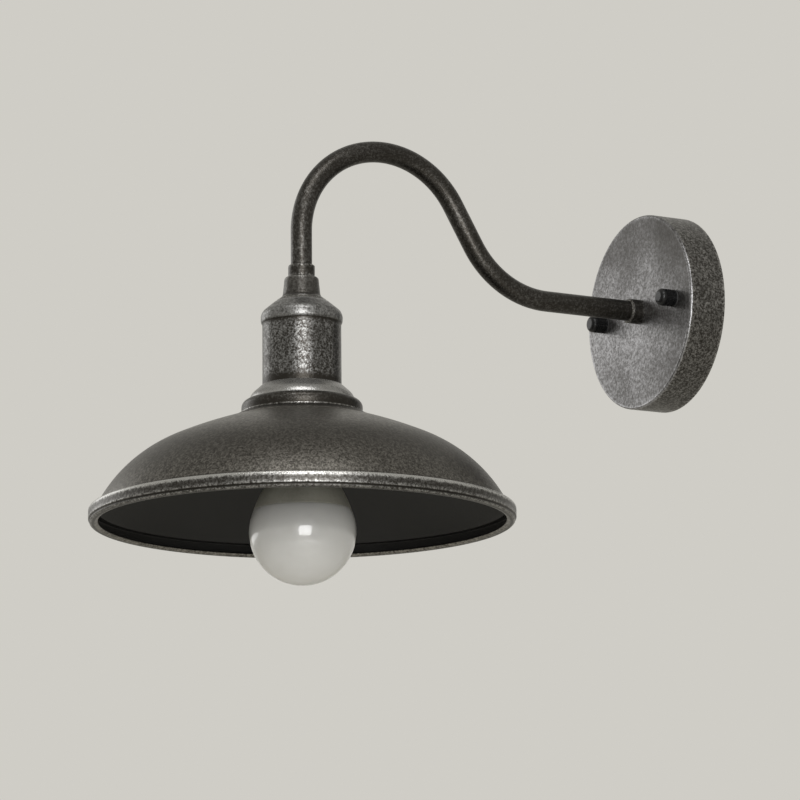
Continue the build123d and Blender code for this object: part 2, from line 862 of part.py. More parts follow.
with BuildPart() as screw_cap:
    with BuildSketch(lamp_section):
        with BuildLine():
            Polyline(
                (insulator_radius, shell_top),
                (cap_radius, shell_top - insulator_height / 2),
                (cap_radius, cap_bottom),
                (housing_neck + thread_gap, cap_bottom),
                (housing_neck + thread_gap, shell_top - insulator_height / 2 - cap_wall),
                (insulator_radius, shell_top - cap_wall),
                close=True,
            )
        make_face()
        groove_centre = cap_radius - thread_depth + thread_round
        for turn in range(thread_turns):
            with Locations((groove_centre, cap_bottom + cap_mouth + thread_pitch * (turn + 0.5))):
                Circle(thread_round, mode=Mode.SUBTRACT)
    revolve(axis=lamp_axis)
save(screw_cap, "bulb_screw_cap")

with BuildPart() as insulator:
    with BuildSketch(lamp_section):
        with BuildLine():
            Polyline(
                (0, tip_level - tip_height),
                (tip_radius, tip_level - tip_height),
                (insulator_radius, shell_top),
                (insulator_radius, shell_top - cap_wall),
                (0, shell_top - cap_wall),
                close=True,
            )
        make_face()
    revolve(axis=lamp_axis)
save(insulator, "bulb_insulator")

with BuildPart() as tip:
    with BuildSketch(lamp_section):
        with BuildLine():
            FilletPolyline(
                (0, tip_level),
                (tip_radius, tip_level),
                (tip_radius, tip_level - tip_height),
                (0, tip_level - tip_height),
                radius=[tip_height / 2, 0],
            )
            Line((0, tip_level - tip_height), (0, tip_level))
        make_face()
    revolve(axis=lamp_axis)
save(tip, "bulb_tip_contact")

# ---------------------------------------------------------------- terminal block and earth point

poles = sorted(pole_x.values())
block_middle = -block_top - block_length / 2
clamp_levels = (block_middle - clamp_spacing / 2, block_middle + clamp_spacing / 2)
tower_radius = clamp_diameter / 2 + tower_wall
sleeve_length = block_length - 2 * sleeve_inset
with BuildPart() as block:
    with BuildSketch(wall_level(bar_front)):
        with Locations((0, block_middle)):
            Rectangle(2 * (pole_pitch + block_margin), block_length)
        with Locations(*[(x, block_middle) for x in (-pole_pitch / 2, pole_pitch / 2)]):
            Circle(block_screw_diameter / 2 + thread_gap, mode=Mode.SUBTRACT)
    extrude(amount=block_base)
    with BuildSketch(wall_level(bar_front + block_base)):
        with Locations(*[(x, z) for x in poles for z in clamp_levels]):
            Circle(tower_radius)
    extrude(amount=block_tower)
    with BuildSketch(wall_level(pole_out)):
        with Locations(*[(x, z) for x in poles for z in clamp_levels]):
            Circle(clamp_diameter / 2 + pass_gap)
    extrude(amount=block_base + block_tower, mode=Mode.SUBTRACT)
    with BuildSketch(Plane.XY.offset(-block_top)):
        with Locations(*[(x, -pole_out) for x in poles]):
            Circle(sleeve_radius + thread_gap)
    extrude(amount=-block_length, mode=Mode.SUBTRACT)
save(block, "terminal_block")

with BuildPart() as sleeves:
    with BuildSketch(Plane.XY.offset(-block_top - sleeve_inset)):
        with Locations(*[(x, -pole_out) for x in poles]):
            Circle(sleeve_radius)
            Circle(sleeve_bore / 2, mode=Mode.SUBTRACT)
    extrude(amount=-sleeve_length)
    with BuildSketch(wall_level(pole_out)):
        with Locations(*[(x, z) for x in poles for z in clamp_levels]):
            Circle(clamp_diameter / 2 - thread_gap)
    extrude(amount=sleeve_radius, mode=Mode.SUBTRACT)
save(sleeves, "terminal_sleeves")

with BuildPart() as clamps:
    with BuildSketch(wall_level(pole_out + core_radius)):
        with Locations(*[(x, z) for x in poles for z in clamp_levels]):
            Circle(clamp_diameter / 2 - 2 * thread_gap)
    extrude(amount=pole_height + block_tower / 2 - core_radius)
    with BuildSketch(wall_level(pole_out + pole_height + block_tower / 2)):
        with Locations(*[(x, z) for x in poles for z in clamp_levels]):
            Rectangle(clamp_diameter, tower_wall)
    extrude(amount=-tower_wall, mode=Mode.SUBTRACT)
save(clamps, "terminal_clamp_screws")

with BuildPart() as block_screws:
    for x in (-pole_pitch / 2, pole_pitch / 2):
        with BuildSketch(wall_section(x, block_middle)):
            head_back = bar_front + block_base
            band(0, block_screw_diameter / 2, bar_back, head_back)
            band(0, block_screw_head / 2, head_back, head_back + block_screw_head_height)
        revolve(axis=wall_axis(x, block_middle))
save(block_screws, "block_screws")

lug_front = bar_front + lug_sheet
with BuildPart() as earth_screw:
    with BuildSketch(wall_section(earth_x)):
        band(0, earth_diameter / 2, lug_front - earth_shank, lug_front)
    revolve(axis=wall_axis(earth_x))
    with BuildSketch(wall_level(lug_front, earth_x)):
        RegularPolygon(earth_head_diameter / 2, 6, major_radius=False)
    extrude(amount=earth_head_height)
    with BuildSketch(wall_level(lug_front + earth_head_height, earth_x)):
        Rectangle(earth_head_diameter, lug_sheet)
    extrude(amount=-earth_head_height / 2, mode=Mode.SUBTRACT)
save(earth_screw, "earth_screw")

# The lug's barrel points from the earth screw to the bend above the earth pole.
earth_bend = Vector(pole_x["earth"], -pole_out, -block_bend_drop)
barrel_out = bar_front + lug_barrel_radius
earth_point = Vector(earth_x, -barrel_out, 0)
lug_direction = Vector(earth_bend.X - earth_x, 0, earth_bend.Z).normalized()
barrel_start = earth_point + lug_direction * lug_barrel_start
barrel_end = barrel_start + lug_direction * lug_barrel_length
barrel_plane = Plane(origin=barrel_start, z_dir=lug_direction)
barrel_slope = degrees(atan2(lug_direction.Z, lug_direction.X))
with BuildPart() as lug:
    with BuildSketch(wall_level(bar_front, earth_x)):
        Circle(lug_radius)
        with Locations(Location((0, 0, 0), (0, 0, barrel_slope))):
            Rectangle(lug_barrel_start + lug_barrel_radius, lug_tongue, align=(Align.MIN, Align.CENTER))
        Circle(earth_diameter / 2 + pass_gap, mode=Mode.SUBTRACT)
    extrude(amount=lug_sheet)
    with BuildSketch(barrel_plane):
        Circle(lug_barrel_radius)
    extrude(amount=lug_barrel_length)
    with BuildSketch(barrel_plane):
        Circle(lead_radius + thread_gap)
    extrude(amount=lug_barrel_length, mode=Mode.SUBTRACT)
save(lug, "earth_lug")

# ---------------------------------------------------------------- leads

block_face = -block_top
for pole, x in lead_x.items():
    foot = pole_x[pole]
    outlet = (x, -pole_out, 0)
    lamp_x = -terminal_offset if pole == "live" else terminal_offset
    terminal_bend = terminal_top + terminal_bend_drop
    with BuildLine() as tail:
        FilletPolyline(
            (foot, -pole_out, block_face),
            (foot, -pole_out, -block_bend_drop),
            outlet,
            (x, -canopy_depth, 0),
            radius=[block_bend_radius, outlet_bend_radius],
        )
    with BuildLine() as lamp_end:
        FilletPolyline(
            (x, -reach, nipple_bottom + bush_length),
            (x, -reach, nipple_bottom - terminal_lead_in),
            (lamp_x, -reach, terminal_bend),
            (lamp_x, -reach, terminal_top),
            radius=terminal_bend_radius,
        )
    inside_arm = arm_run(x, -canopy_depth, nipple_bottom + bush_length)
    route = Wire(tail.edges() + inside_arm.edges() + lamp_end.edges())
    with BuildPart() as lead:
        with BuildSketch(Plane.XY.offset(block_face)):
            with Locations((foot, -pole_out)):
                Circle(lead_radius)
        sweep(path=route)
        with BuildSketch(Plane.XY.offset(block_face)):
            with Locations((foot, -pole_out)):
                Circle(core_radius)
        extrude(amount=-bare_length)
        with BuildSketch(lamp_level(terminal_top)):
            with Locations((lamp_x, 0)):
                Circle(core_radius)
        extrude(amount=-bare_length)
    expected = pi * (lead_radius**2 * route.length + core_radius**2 * 2 * bare_length)
    print(f"lead_{pole}: {route.length:.1f} mm, volume {lead.part.volume:.0f} against {expected:.0f}")
    save(lead, f"lead_{pole}")

with BuildLine() as earth_route:
    FilletPolyline(
        barrel_start,
        barrel_end + lug_direction * lead_diameter,
        earth_bend,
        (earth_bend.X, earth_bend.Y, block_face),
        radius=lug_barrel_length / 2,
    )
with BuildPart() as earth_lead:
    with BuildSketch(barrel_plane):
        Circle(lead_radius)
    sweep(path=earth_route.wires()[0])
    with BuildSketch(Plane.XY.offset(block_face)):
        with Locations((earth_bend.X, earth_bend.Y)):
            Circle(core_radius)
    extrude(amount=-bare_length)
save(earth_lead, "lead_earth")
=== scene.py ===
"""Looks of a gooseneck wall sconce in antique black-silver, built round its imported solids.

Lengths in this file are millimetres, and MM turns them into Blender's metres. The wall is Y = 0, +Z is up and the
lamp hangs on a vertical axis at Y = -REACH.
"""

import json
import math

import bmesh
import bpy
from mathutils import Matrix, Vector


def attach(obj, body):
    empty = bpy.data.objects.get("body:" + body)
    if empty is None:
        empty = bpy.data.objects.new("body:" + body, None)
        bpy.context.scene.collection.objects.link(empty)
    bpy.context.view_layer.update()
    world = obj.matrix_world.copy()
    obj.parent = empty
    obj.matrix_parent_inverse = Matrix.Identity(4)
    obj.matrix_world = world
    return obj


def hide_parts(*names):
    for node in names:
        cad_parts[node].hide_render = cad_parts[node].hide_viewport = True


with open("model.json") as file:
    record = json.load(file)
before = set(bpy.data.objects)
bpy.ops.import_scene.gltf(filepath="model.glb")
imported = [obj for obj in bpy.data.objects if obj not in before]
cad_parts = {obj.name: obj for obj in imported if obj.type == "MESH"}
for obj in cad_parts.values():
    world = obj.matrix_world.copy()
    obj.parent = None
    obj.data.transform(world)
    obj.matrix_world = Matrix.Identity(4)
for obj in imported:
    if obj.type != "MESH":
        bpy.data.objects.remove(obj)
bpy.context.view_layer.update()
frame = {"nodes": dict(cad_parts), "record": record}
MM = 0.001
nodes = frame["nodes"]

# ---------------------------------------------------------------- sizes, as in the part's source

REACH = 255.0
CANOPY_RADIUS, CANOPY_DEPTH, CANOPY_SHEET, CANOPY_EDGE = 60.0, 24.0, 1.2, 1.3
WALL_COLLAR_RADIUS, WALL_COLLAR_END = 7.5, CANOPY_DEPTH + 8.5
TUBE_RADIUS, TUBE_BORE = 6.25, 5.05
TOP_RADIUS, LOW_RADIUS, RISE, BEND_Z = 54.5, 58.0, math.radians(60), 25.2

# Levels of the lamp, from the arm's end down to the shade's lip.
NECK_TOP, STEP_TOP, CUP_TOP, CREASE, CUP_BOTTOM = -2.8, -15.9, -18.0, -31.0, -67.6
FITTER_BOTTOM, SHADE_TOP, FLANK, BROW, BAND_BOTTOM = -76.4, -84.6, -101.2, -140.1, -147.4
CUP_COLLAR_TOP = NECK_TOP + 7.2

# Radii of the lamp, from its holes and its neck out to the shade's rim.
NIPPLE_HOLE, COLLAR_HOLE, HOLDER_HOLE = 5.1, TUBE_RADIUS + 0.1, 20.3
CUP_COLLAR_RADIUS, NECK_RADIUS, NECK_FOOT_RADIUS = 7.8, 9.9, 13.0
CROWN_RADIUS, BRIM_RADIUS, CUP_RADIUS, BEAD_RADIUS = 14.0, 16.2, 23.0, 23.9
FITTER_RADIUS, COLLAR_RADIUS, COLLAR_FOOT_RADIUS = 30.8, 35.2, 35.8
FLANK_RADIUS, BROW_RADIUS, RIM_RADIUS = 78.3, 118.9, 123.2
SHADE_SLOPE = math.radians(16.4)

GLOBE_RADIUS, GLOBE_Z, SEAM_Z, CAP_Z = 31.0, -153.3, -140.8, -95.0
SEAM_RADIUS = math.sqrt(GLOBE_RADIUS**2 - (SEAM_Z - GLOBE_Z) ** 2)


# ---------------------------------------------------------------- outlines

def arc(p, tangent, q, step):
    """Points after p along the arc that leaves p along tangent and ends at q, and its last direction."""
    dx, dy = q[0] - p[0], q[1] - p[1]
    nx, ny = -tangent[1], tangent[0]
    across = nx * dx + ny * dy
    radius = (dx * dx + dy * dy) / (2 * across)
    cx, cy = p[0] + nx * radius, p[1] + ny * radius
    start = math.atan2(p[1] - cy, p[0] - cx)
    turn = 2 * math.atan2(across, tangent[0] * dx + tangent[1] * dy)
    n = max(3, math.ceil(abs(turn * radius) / step))
    points = [
        (cx + abs(radius) * math.cos(start + turn * i / n), cy + abs(radius) * math.sin(start + turn * i / n))
        for i in range(1, n + 1)
    ]
    c, s = math.cos(turn), math.sin(turn)
    return points, (tangent[0] * c - tangent[1] * s, tangent[0] * s + tangent[1] * c)


def outline(start, *moves, step=0.6):
    """Points of a line through moves, and the corners to round. (x, y) is a straight run, (x, y, r) rounds the
    corner there, and ("arc", x, y) is an arc that goes on smoothly, or leaves along a given (dx, dy)."""
    points, rounds, heading = [start], {}, None
    for move in moves:
        p = points[-1]
        if move[0] == "arc":
            if len(move) > 3:
                heading = tuple(v / math.hypot(*move[3:]) for v in move[3:])
            more, heading = arc(p, heading, move[1:3], step)
            points += more
            continue
        length = math.dist(p, move[:2])
        heading = ((move[0] - p[0]) / length, (move[1] - p[1]) / length)
        points.append(move[:2])
        if len(move) > 2:
            rounds[len(points) - 1] = move[2]
    return points, rounds


def smooth(path, step=0.6, loop=True):
    """The outline as points no further apart than step, with its corners rounded."""
    points, rounds = path
    n, line = len(points), []
    for i, p in enumerate(points):
        if i not in rounds:
            line.append(p)
            continue
        a, b = points[i - 1], points[(i + 1) % n]
        la, lb = math.dist(a, p), math.dist(b, p)
        u = ((a[0] - p[0]) / la, (a[1] - p[1]) / la)
        v = ((b[0] - p[0]) / lb, (b[1] - p[1]) / lb)
        half = math.acos(max(-1, min(1, u[0] * v[0] + u[1] * v[1]))) / 2
        back = min(rounds[i] / math.tan(half), 0.49 * la, 0.49 * lb)  # two rounds on one run don't meet
        first = (p[0] + u[0] * back, p[1] + u[1] * back)
        last = (p[0] + v[0] * back, p[1] + v[1] * back)
        line.append(first)
        line += arc(first, (-u[0], -u[1]), last, max(0.12, rounds[i] / 6))[0]
    fine = []
    for p, q in zip(line, line[1:] + line[:1] if loop else line[1:]):
        d = math.dist(p, q)
        if d > 1e-6:
            k = math.ceil(d / step)
            fine += [(p[0] + (q[0] - p[0]) * j / k, p[1] + (q[1] - p[1]) * j / k) for j in range(k)]
    return fine if loop else fine + [line[-1]]


def sheet(path, thick, step=0.6, lip=0.25):
    """Ring of a bent sheet whose good side is the path, and where its lining starts. The lining is to the right."""
    line = smooth(path, step, loop=False)
    lining = []
    for i, p in enumerate(line):
        a, b = line[max(i - 1, 0)], line[min(i + 1, len(line) - 1)]
        d = math.dist(a, b)
        lining.append((p[0] + (b[1] - a[1]) / d * thick, p[1] - (b[0] - a[0]) / d * thick))
    n = len(line)
    ring = smooth((line + lining[::-1], {n - 1: lip, n: lip}), step)
    start = min(range(len(ring)), key=lambda i: math.dist(ring[i], lining[-1]))
    return ring, start


def bump_at(value, middle, width):
    """A soft bump, 1 at the middle."""
    return math.exp(-(((value - middle) / width) ** 2))


def edge_wear(ring):
    """How far each point of a closed ring stands on an outer edge (to 1) or in a crease (to -1)."""
    reach = 0.7  # how far along the ring a corner is felt
    whole_edge = 1.1  # turning, in radians, that counts as 1
    n = len(ring)
    area = sum(ring[i - 1][0] * ring[i][1] - ring[i][0] * ring[i - 1][1] for i in range(n))
    sign = 1 if area > 0 else -1
    turns = []
    for i, p in enumerate(ring):
        a, b = ring[i - 1], ring[(i + 1) % n]
        ux, uy, vx, vy = p[0] - a[0], p[1] - a[1], b[0] - p[0], b[1] - p[1]
        turns.append(sign * math.atan2(ux * vy - uy * vx, ux * vx + uy * vy))
    wear_and_painted_light = []
    for i, p in enumerate(ring):
        total = 0.0
        for way in (1, -1):
            j, d = i, 0.0
            while d < 3 * reach:
                if way == 1 or j != i:
                    total += turns[j] * math.exp(-0.5 * (d / reach) ** 2)
                k = (j + way) % n
                d += math.dist(ring[j], ring[k])
                j = k
        wear_and_painted_light.append(max(-1.0, min(1.0, total / whole_edge)))
    return wear_and_painted_light


# ---------------------------------------------------------------- meshes

WELD = 1e-7  # metres within which points become one
SHARP = math.radians(40)


def build(name, points, faces, body, mats, pick, wear_and_painted_light, stands_for):
    """A smooth piece from points in millimetres, with its wear, painted shade and painted highlights kept at each
    point.
    """
    mesh = bpy.data.meshes.new(name)
    mesh.from_pydata([tuple(v * MM for v in p) for p in points], [], faces)
    for m in mats:
        mesh.materials.append(m)
    if pick:
        mesh.polygons.foreach_set("material_index", pick)
    # the attribute holds edge wear together with painted shade and painted highlights
    mesh.attributes.new("wear_and_painted_light", "FLOAT", "POINT").data.foreach_set("value", wear_and_painted_light)
    work = bmesh.new()
    work.from_mesh(mesh)
    bmesh.ops.remove_doubles(work, verts=work.verts, dist=WELD)
    if work.calc_volume(signed=True) < 0:
        bmesh.ops.reverse_faces(work, faces=work.faces)
    for f in work.faces:
        f.smooth = True
    work.to_mesh(mesh)
    work.free()
    mesh.set_sharp_from_angle(angle=SHARP)
    piece = bpy.data.objects.new(name, mesh)
    bpy.context.scene.collection.objects.link(piece)
    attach(piece, body)
    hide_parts(*stands_for)
    return piece


def lamp_place(r, h, c, s):
    """Turned about the lamp's axis, with h as the level."""
    return (r * c, r * s - REACH, h)


def wall_place(r, h, c, s):
    """Turned about the arm's outlet, with h as the distance from the wall."""
    return (r * c, -h, r * s)


def lathe(name, ring, body, mats, stands_for, lining=None, trim=None, extra=None, count=128, place=lamp_place):
    """A solid of revolution. Where it has a lining, its ring takes the second material from there on, and the third
    where trim(r, h) holds. extra(r, h) adds to the wear, and on some pieces it paints shade and highlights."""
    wear_and_painted_light = edge_wear(ring)
    if extra:
        wear_and_painted_light = [w + extra(*p) for w, p in zip(wear_and_painted_light, ring)]
    n = len(ring)
    turns = [(math.cos(2 * math.pi * k / count), math.sin(2 * math.pi * k / count)) for k in range(count)]
    points = [place(r, h, c, s) for c, s in turns for r, h in ring]
    faces = [
        (k * n + i, (k + 1) % count * n + i, (k + 1) % count * n + (i + 1) % n, k * n + (i + 1) % n)
        for k in range(count) for i in range(n)
    ]
    pick = None
    if lining:
        pick = [1 if i >= lining else 2 if trim and trim(*p) else 0 for i, p in enumerate(ring)] * count
    return build(name, points, faces, body, mats, pick, wear_and_painted_light * count, stands_for)


# ---------------------------------------------------------------- materials

class Surface:
    """A node material. Positions are in the piece's own millimetres, so a pattern rides with its piece."""

    def __init__(self, name):
        self.material = bpy.data.materials.new(name)
        self.material.use_nodes = True
        self.tree = self.material.node_tree
        self.tree.nodes.clear()
        output = self.node("ShaderNodeOutputMaterial")
        self.shader = self.node("ShaderNodeBsdfPrincipled")
        self.tree.links.new(self.shader.outputs[0], output.inputs[0])
        place = self.node("ShaderNodeTexCoord").outputs["Object"]
        scale = self.node("ShaderNodeVectorMath", operation="SCALE")
        self.tree.links.new(place, scale.inputs[0])
        scale.inputs["Scale"].default_value = 1 / MM
        self.place = scale.outputs[0]

    def node(self, kind, **settings):
        made = self.tree.nodes.new(kind)
        for key, value in settings.items():
            setattr(made, key, value)
        return made

    def put(self, socket, value):
        """Links an output to a socket, or sets the socket to a number or colour."""
        if isinstance(value, bpy.types.NodeSocket):
            self.tree.links.new(value, socket)
        elif isinstance(value, tuple) and len(value) == 3 and socket.type == "RGBA":
            socket.default_value = (*value, 1)
        else:
            socket.default_value = value

    def set(self, **values):
        """Sets the shader's sockets, named with underscores for spaces."""
        for key, value in values.items():
            self.put(self.shader.inputs[key.replace("_", " ")], value)

    def calc(self, operation, a, b):
        made = self.node("ShaderNodeMath", operation=operation)
        self.put(made.inputs[0], a)
        self.put(made.inputs[1], b)
        return made.outputs[0]

    def noise(self, size, detail=3.0, rough=0.6, stretch=None, shift=0.0):
        """Noise about 0, with lumps of that size in millimetres. A shift keeps it apart from other noise."""
        place = self.place
        if stretch or shift:
            moved = self.node("ShaderNodeMapping")
            self.put(moved.inputs["Vector"], place)
            moved.inputs["Scale"].default_value = stretch or (1, 1, 1)
            moved.inputs["Location"].default_value = (shift, shift, shift)
            place = moved.outputs[0]
        made = self.node("ShaderNodeTexNoise")
        self.put(made.inputs["Vector"], place)
        made.inputs["Scale"].default_value = 1 / size
        made.inputs["Detail"].default_value = detail
        made.inputs["Roughness"].default_value = rough
        return self.calc("SUBTRACT", made.outputs["Fac"], 0.5)

    def grains(self, size, shift=0.0):
        """Fine speckle from -0.5 to 0.5, with grains of that size in millimetres."""
        return self.calc("SUBTRACT", self.ramp(self.noise(size, 2, 0.55, shift=shift), -0.17, 0.17), 0.5)

    def ramp(self, value, low, high, to_low=0.0, to_high=1.0):
        """A soft step from to_low to to_high while value goes from low to high."""
        made = self.node("ShaderNodeMapRange", interpolation_type="SMOOTHSTEP", clamp=True)
        self.put(made.inputs["Value"], value)
        made.inputs["From Min"].default_value = low
        made.inputs["From Max"].default_value = high
        made.inputs["To Min"].default_value = to_low
        made.inputs["To Max"].default_value = to_high
        return made.outputs["Result"]

    def blend(self, share, a, b):
        """Colour from a to b. In a colour Mix node these are inputs 6 and 7, and the result is output 2."""
        made = self.node("ShaderNodeMix", data_type="RGBA")
        self.put(made.inputs["Factor"], share)
        self.put(made.inputs[6], a)
        self.put(made.inputs[7], b)
        return made.outputs[2]

    # reads the attribute of edge wear, painted shade and painted highlights
    def wear_and_painted_light(self):
        made = self.node("ShaderNodeAttribute", attribute_type="GEOMETRY", attribute_name="wear_and_painted_light")
        return made.outputs["Fac"]

    def total(self, *terms):
        """Sum of sockets, numbers and (socket, factor) pairs."""
        result = None
        for term in terms:
            if isinstance(term, tuple):
                term = self.calc("MULTIPLY", *term)
            result = term if result is None else self.calc("ADD", result, term)
        return result

    def bump(self, height, distance, strength=1.0):
        """Relief of that distance in millimetres."""
        made = self.node("ShaderNodeBump")
        made.inputs["Strength"].default_value = strength
        made.inputs["Distance"].default_value = distance * MM
        self.put(made.inputs["Height"], height)
        self.set(Normal=made.outputs[0])


LACQUER = (0.028, 0.0255, 0.022)
SILVER = (0.30, 0.294, 0.282)
UP, DOWN, RIGHT = (0, 0, 1), (0, 0, -1), (1, 0, 0)


def antique(name, film, grit, mottle, wear_gain=0.3, pale=SILVER, rough=0.36, drift=()):
    """Black lacquer under brushed silver: film is how much silver lies on it, grit how strongly it is speckled,
    mottle how far it wanders, and wear_gain how much more shows on worn edges and how strongly the painted shade and
    highlights kept with the wear show. Each (axis, start, end, change) of drift adds a change of film along an axis;
    on the canopy's face it darkens the top and paints shade towards +X."""
    s = Surface(name)
    coarse = s.grains(1.8)
    small = s.grains(0.95, 13.0)
    speckle = s.total((coarse, 0.6), (small, 0.7))
    blot = s.noise(4.0, 2, 0.5, shift=31.0)
    broad = s.noise(24, 2, 0.5, shift=87.0)
    cover = s.total((s.wear_and_painted_light(), wear_gain), (broad, 2 * mottle), (blot, mottle), film)
    for axis, start, end, change in drift:
        along = s.node("ShaderNodeVectorMath", operation="DOT_PRODUCT")
        s.put(along.inputs[0], s.place)
        along.inputs[1].default_value = axis
        cover = s.total(cover, s.ramp(along.outputs["Value"], start, end, 0.0, change))
    spots = s.calc("MULTIPLY", speckle, s.ramp(cover, -0.1, 0.5, 0.35, 1.0))  # fewer where little silver lies
    cover = s.ramp(s.total(cover, (spots, grit)), -0.25, 1.15)
    s.set(
        Base_Color=s.blend(cover, LACQUER, pale),
        Metallic=0.92,
        Roughness=s.total(s.ramp(cover, 0.0, 0.8, 0.06, -0.06), (small, 0.10), rough),
        Specular_IOR_Level=0.25,
    )
    s.bump(s.total((small, 0.5), (coarse, 0.5)), 0.05)
    return s.material


def plain(name, color, roughness, grain=0.25, lump=1.2, uneven=1.0, **more):
    """Moulded or painted stuff: one colour, a little uneven in tone, roughness and height."""
    s = Surface(name)
    fine = s.noise(lump, 4, 0.6)
    broad = s.noise(14, 2, 0.5, shift=11.0)
    shade = s.total((fine, 0.5), (broad, 0.9), 0.5)
    dark = tuple((1 - 0.18 * uneven) * c for c in color)
    pale = tuple(min(1.0, (1 + 0.16 * uneven) * c) for c in color)
    s.set(
        Base_Color=s.blend(s.ramp(shade, 0.2, 0.8), dark, pale),
        Roughness=s.total((fine, 0.16 * uneven), (broad, 0.1 * uneven), roughness),
        **more,
    )
    s.bump(fine, 0.06, grain)
    return s.material


def turned(name, color, roughness):
    """Bare or plated metal with fine lathe lines square to Z."""
    s = Surface(name)
    lines = s.noise(0.35, 2, 0.7, stretch=(0.02, 0.02, 1.0))
    fine = s.noise(0.8, 4, 0.65)
    broad = s.noise(9, 2, 0.5, shift=5.0)
    dark = tuple(0.6 * c for c in color)
    s.set(
        Base_Color=s.blend(s.ramp(s.total((fine, 0.7), broad), -0.3, 0.25), dark, color),
        Roughness=s.total((lines, 0.25), (fine, 0.2), roughness),
        Metallic=1.0,
    )
    s.bump(s.total(lines, (fine, 0.3)), 0.05, 0.5)
    return s.material


ANTIQUE = antique("antique_body", film=0.19, grit=0.75, mottle=0.06, pale=(0.30, 0.286, 0.257))
ANTIQUE_RIM = antique(
    "antique_rim", film=-0.04, grit=0.9, mottle=0.08, wear_gain=0.6, pale=(0.37, 0.366, 0.354), rough=0.33,
)
ANTIQUE_ARM = antique("antique_arm", film=-0.1, grit=1.0, mottle=0.14, rough=0.29)
ANTIQUE_CUP = antique("antique_cup", film=0.12, grit=1.2, mottle=0.10, pale=(0.33, 0.33, 0.327), rough=0.30)
SHOULDER = antique("antique_shoulder", film=0.42, grit=0.6, mottle=0.16, pale=(0.27, 0.27, 0.267), rough=0.38)
# the face's drift darkens it towards its top and a little towards its bottom, and paints the shadow of the arm and
# nuts towards +X
ANTIQUE_FACE = antique(
    "antique_face", film=0.33, grit=0.5, mottle=0.16, wear_gain=0.4, pale=(0.33, 0.328, 0.337),
    drift=((UP, 0, 55, -0.25), (DOWN, 15, 50, -0.08), (RIGHT, 5, 50, -0.22)),
)
ANTIQUE_SIDE = antique("antique_side", film=0.17, grit=1.1, mottle=0.12, pale=(0.29, 0.284, 0.272))
DULL = antique("antique_dull_silver", film=0.06, grit=0.5, mottle=0.12, rough=0.3)
SILVERED = antique("antique_silvered", film=0.66, grit=0.2, mottle=0.4, pale=(0.30, 0.297, 0.289), rough=0.35)
INSIDE = plain("inside_black", (0.0075, 0.0073, 0.0066), 0.5, grain=0.2, Specular_IOR_Level=0.3)
GLOSS = plain("gloss_black", (0.004, 0.004, 0.0042), 0.3, grain=0.15, Specular_IOR_Level=0.22)
ZINC = turned("zinc_plate", (0.55, 0.56, 0.57), 0.36)
BRASS = turned("brass_metal", (0.68, 0.50, 0.24), 0.32)
NICKEL = turned("nickel_plate", (0.62, 0.61, 0.58), 0.26)
BLACK_PLASTIC = plain("black_plastic", (0.018, 0.018, 0.018), 0.42, grain=0.4, lump=0.6)
WHITE_PLASTIC = plain("white_plastic", (0.78, 0.77, 0.72), 0.4, grain=0.3)
NYLON = plain("nylon_natural", (0.74, 0.73, 0.68), 0.45, grain=0.3, Subsurface_Weight=0.2)
FIBRE = plain("fibre_black", (0.02, 0.02, 0.02), 0.8, grain=0.6, lump=0.4)
OPAL = plain(
    "opal_diffuser", (0.57, 0.563, 0.535), 0.35, grain=0.0, lump=5, uneven=0.1, Coat_Weight=1.0, Coat_Roughness=0.04,
    Subsurface_Weight=0.8, Subsurface_Scale=0.01, Subsurface_Radius=(1.0, 0.98, 0.94),
)
# painted shade: the white housing is given a dark grey so it looks shaded inside the lampshade
HOUSING = plain("housing_white_painted_shade", (0.26, 0.255, 0.22), 0.5, grain=0.15, lump=2)
ALUMINIUM = turned("aluminium_plate", (0.70, 0.70, 0.71), 0.4)
BOARD = plain("board_green", (0.02, 0.12, 0.045), 0.4)
CHIP = plain("chip_yellow", (0.75, 0.60, 0.12), 0.5)
COMPONENT = plain("component_dark", (0.03, 0.03, 0.045), 0.4)
LEADS = {
    "lead_live": plain("lead_brown", (0.12, 0.045, 0.02), 0.35, grain=0.2),
    "lead_neutral": plain("lead_blue", (0.02, 0.08, 0.32), 0.35, grain=0.2),
    "lead_earth": plain("lead_green", (0.12, 0.34, 0.04), 0.35, grain=0.2),
}

BY_SLOT = {
    "antique_black": ANTIQUE, "antique_silver": SILVERED, "gloss_black": GLOSS, "zinc_steel": ZINC, "brass": BRASS,
    "black_plastic": BLACK_PLASTIC, "white_plastic": WHITE_PLASTIC, "nylon": NYLON, "fibre": FIBRE, "opal": OPAL,
    "housing": HOUSING, "nickel": NICKEL, "aluminium": ALUMINIUM, "board_green": BOARD, "chip_yellow": CHIP,
    "component": COMPONENT,
}
for row in frame["record"]["subparts"]:
    paint = LEADS.get(row["node"]) or BY_SLOT[row["material_slot"]]
    holder = nodes[row["node"]]
    if not holder.material_slots:
        holder.data.materials.append(paint)
    for part in holder.material_slots:
        part.material = paint

# ---------------------------------------------------------------- canopy

def on_side(rad, out):
    """The canopy's side, up to the round that leads to its face."""
    return out < CANOPY_DEPTH - 1.0


